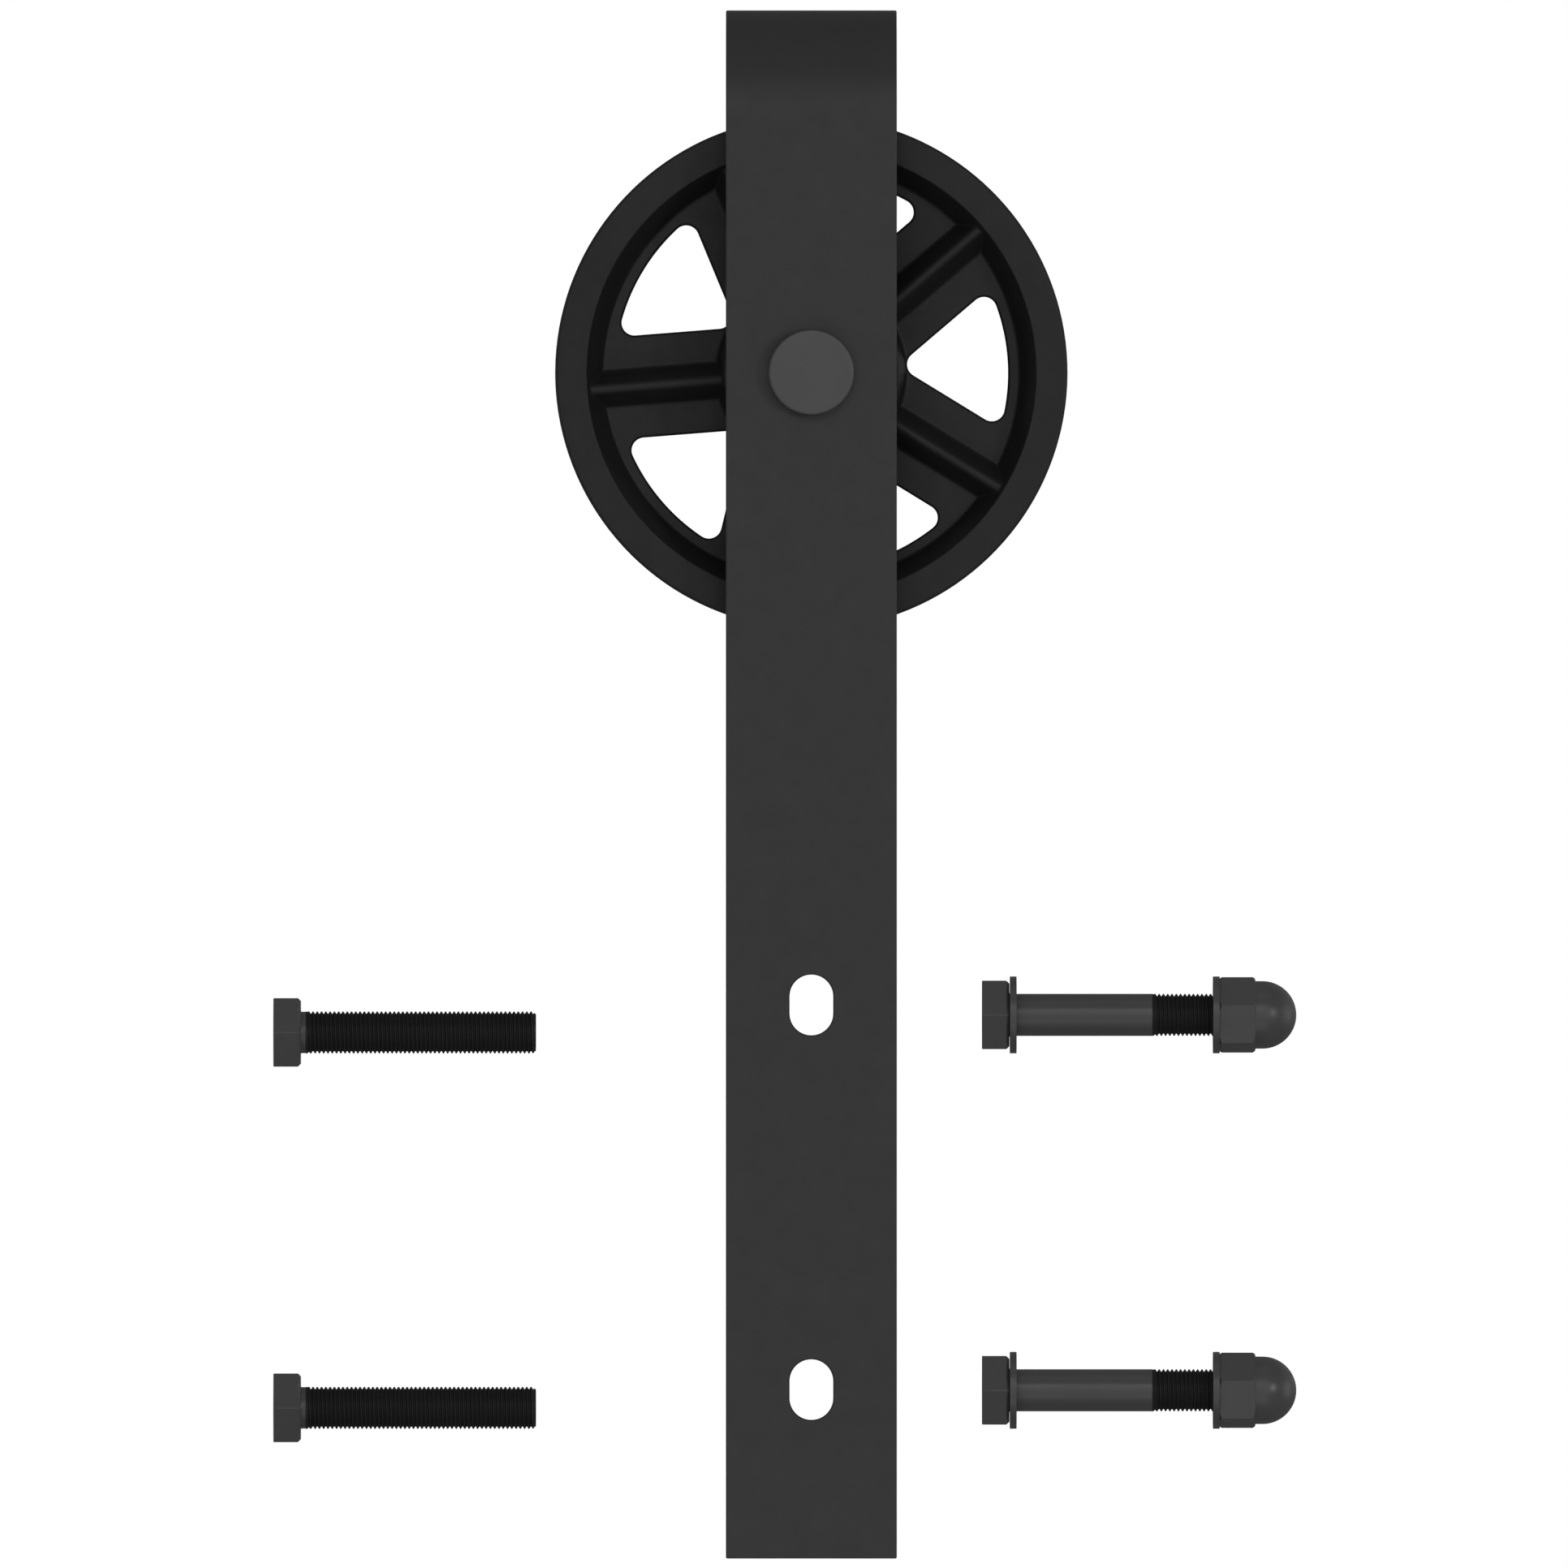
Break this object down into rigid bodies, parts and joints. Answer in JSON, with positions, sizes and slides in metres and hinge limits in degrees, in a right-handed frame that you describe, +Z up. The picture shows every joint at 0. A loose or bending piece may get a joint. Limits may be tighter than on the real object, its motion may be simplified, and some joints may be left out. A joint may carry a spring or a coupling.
{
  "type": "sliding barn door hanger",
  "caption": "Black strap hanger for a sliding barn door: a flat bar bent over a grooved spoked wheel on ball bearings, with loose through bolts, domed nuts and threaded bolts.",
  "frame": {"origin": "where the floor of the wheel's groove sits on the track's top edge, in the wheel's middle plane", "axes": "+X along the track, +Y from the room towards the wall and out of the strap's rear face, +Z up"},
  "size_m": [0.2392, 0.079, 0.3625],
  "materials": {
    "black_coat": "matte black powder coat over flat bar steel",
    "cast_black": "matte black paint over a casting",
    "axle_black": "satin black",
    "black_oxide": "satin black oxide",
    "spring_black": "phosphated spring steel",
    "zinc_steel": "turned and zinc plated",
    "bearing_steel": "ground and polished",
    "pressed_steel": "pressed sheet",
    "nylon": "natural nylon"
  },
  "bodies": {
    "hanger": {"hanger_strap": "black_coat", "axle_bolt": "axle_black", "front_spacer": "zinc_steel", "rear_spacer": "zinc_steel", "bearing_sleeve": "zinc_steel", "axle_washer": "axle_black", "axle_lock_nut": "axle_black", "lock_nut_insert": "nylon", "front_inner_race": "bearing_steel", "rear_inner_race": "bearing_steel"},
    "wheel_set": {"wheel": "cast_black", "front_outer_race": "bearing_steel", "rear_outer_race": "bearing_steel", "front_bearing_shields": "pressed_steel", "rear_bearing_shields": "pressed_steel", "front_retaining_ring": "spring_black", "rear_retaining_ring": "spring_black"},
    "front_ball_set": {"front_ball_cage": "pressed_steel", "front_bearing_balls": "bearing_steel"},
    "rear_ball_set": {"rear_ball_cage": "pressed_steel", "rear_bearing_balls": "bearing_steel"},
    "full_thread_bolt_upper": {"full_thread_bolt_upper": "black_oxide"},
    "full_thread_bolt_lower": {"full_thread_bolt_lower": "black_oxide"},
    "door_bolt_upper": {"door_bolt_upper": "black_oxide"},
    "head_washer_upper": {"head_washer_upper": "black_oxide"},
    "nut_washer_upper": {"nut_washer_upper": "black_oxide"},
    "cap_nut_upper": {"cap_nut_upper": "black_oxide"},
    "door_bolt_lower": {"door_bolt_lower": "black_oxide"},
    "head_washer_lower": {"head_washer_lower": "black_oxide"},
    "nut_washer_lower": {"nut_washer_lower": "black_oxide"},
    "cap_nut_lower": {"cap_nut_lower": "black_oxide"}
  },
  "joints": [
    {"name": "wheel_spin", "type": "hinge", "parent": "hanger", "child": "wheel_set", "pos_m": [0, 0, 0.052], "axis": [0, 1, 0], "continuous": true},
    {"name": "front_cage_spin", "type": "hinge", "parent": "hanger", "child": "front_ball_set", "pos_m": [0, 0, 0.052], "axis": [0, 1, 0], "continuous": true},
    {"name": "rear_cage_spin", "type": "hinge", "parent": "hanger", "child": "rear_ball_set", "pos_m": [0, 0, 0.052], "axis": [0, 1, 0], "continuous": true},
    {"name": "full_thread_bolt_upper_lift", "type": "slide", "parent": "hanger", "child": "full_thread_bolt_upper", "axis": [0, -1, 0], "range_m": [0, 0.08]},
    {"name": "full_thread_bolt_lower_lift", "type": "slide", "parent": "hanger", "child": "full_thread_bolt_lower", "axis": [0, -1, 0], "range_m": [0, 0.08]},
    {"name": "door_bolt_upper_lift", "type": "slide", "parent": "hanger", "child": "door_bolt_upper", "axis": [0, -1, 0], "range_m": [0, 0.08]},
    {"name": "head_washer_upper_slide", "type": "slide", "parent": "door_bolt_upper", "child": "head_washer_upper", "axis": [1, 0, 0], "range_m": [0, 0.0435]},
    {"name": "nut_washer_upper_slide", "type": "slide", "parent": "door_bolt_upper", "child": "nut_washer_upper", "axis": [1, 0, 0], "range_m": [-0.002, 0.011]},
    {"name": "cap_nut_upper_turn", "type": "hinge", "parent": "nut_washer_upper", "child": "cap_nut_upper", "pos_m": [0.1, -0.02824, -0.0983], "axis": [1, 0, 0], "range_deg": [-720, 3960]},
    {"name": "door_bolt_lower_lift", "type": "slide", "parent": "hanger", "child": "door_bolt_lower", "axis": [0, -1, 0], "range_m": [0, 0.08]},
    {"name": "head_washer_lower_slide", "type": "slide", "parent": "door_bolt_lower", "child": "head_washer_lower", "axis": [1, 0, 0], "range_m": [0, 0.0435]},
    {"name": "nut_washer_lower_slide", "type": "slide", "parent": "door_bolt_lower", "child": "nut_washer_lower", "axis": [1, 0, 0], "range_m": [-0.002, 0.011]},
    {"name": "cap_nut_lower_turn", "type": "hinge", "parent": "nut_washer_lower", "child": "cap_nut_lower", "pos_m": [0.1, -0.02824, -0.1861], "axis": [1, 0, 0], "range_deg": [-720, 3960]}
  ],
  "couplings": [
    {"joint": "front_cage_spin", "follows": "wheel_spin", "ratio": 0.63523},
    {"joint": "rear_cage_spin", "follows": "wheel_spin", "ratio": 0.63523},
    {"joint": "cap_nut_upper_turn", "follows": "nut_washer_upper_slide", "rad_per_m": 6283.2},
    {"joint": "cap_nut_lower_turn", "follows": "nut_washer_lower_slide", "rad_per_m": 6283.2}
  ]
}
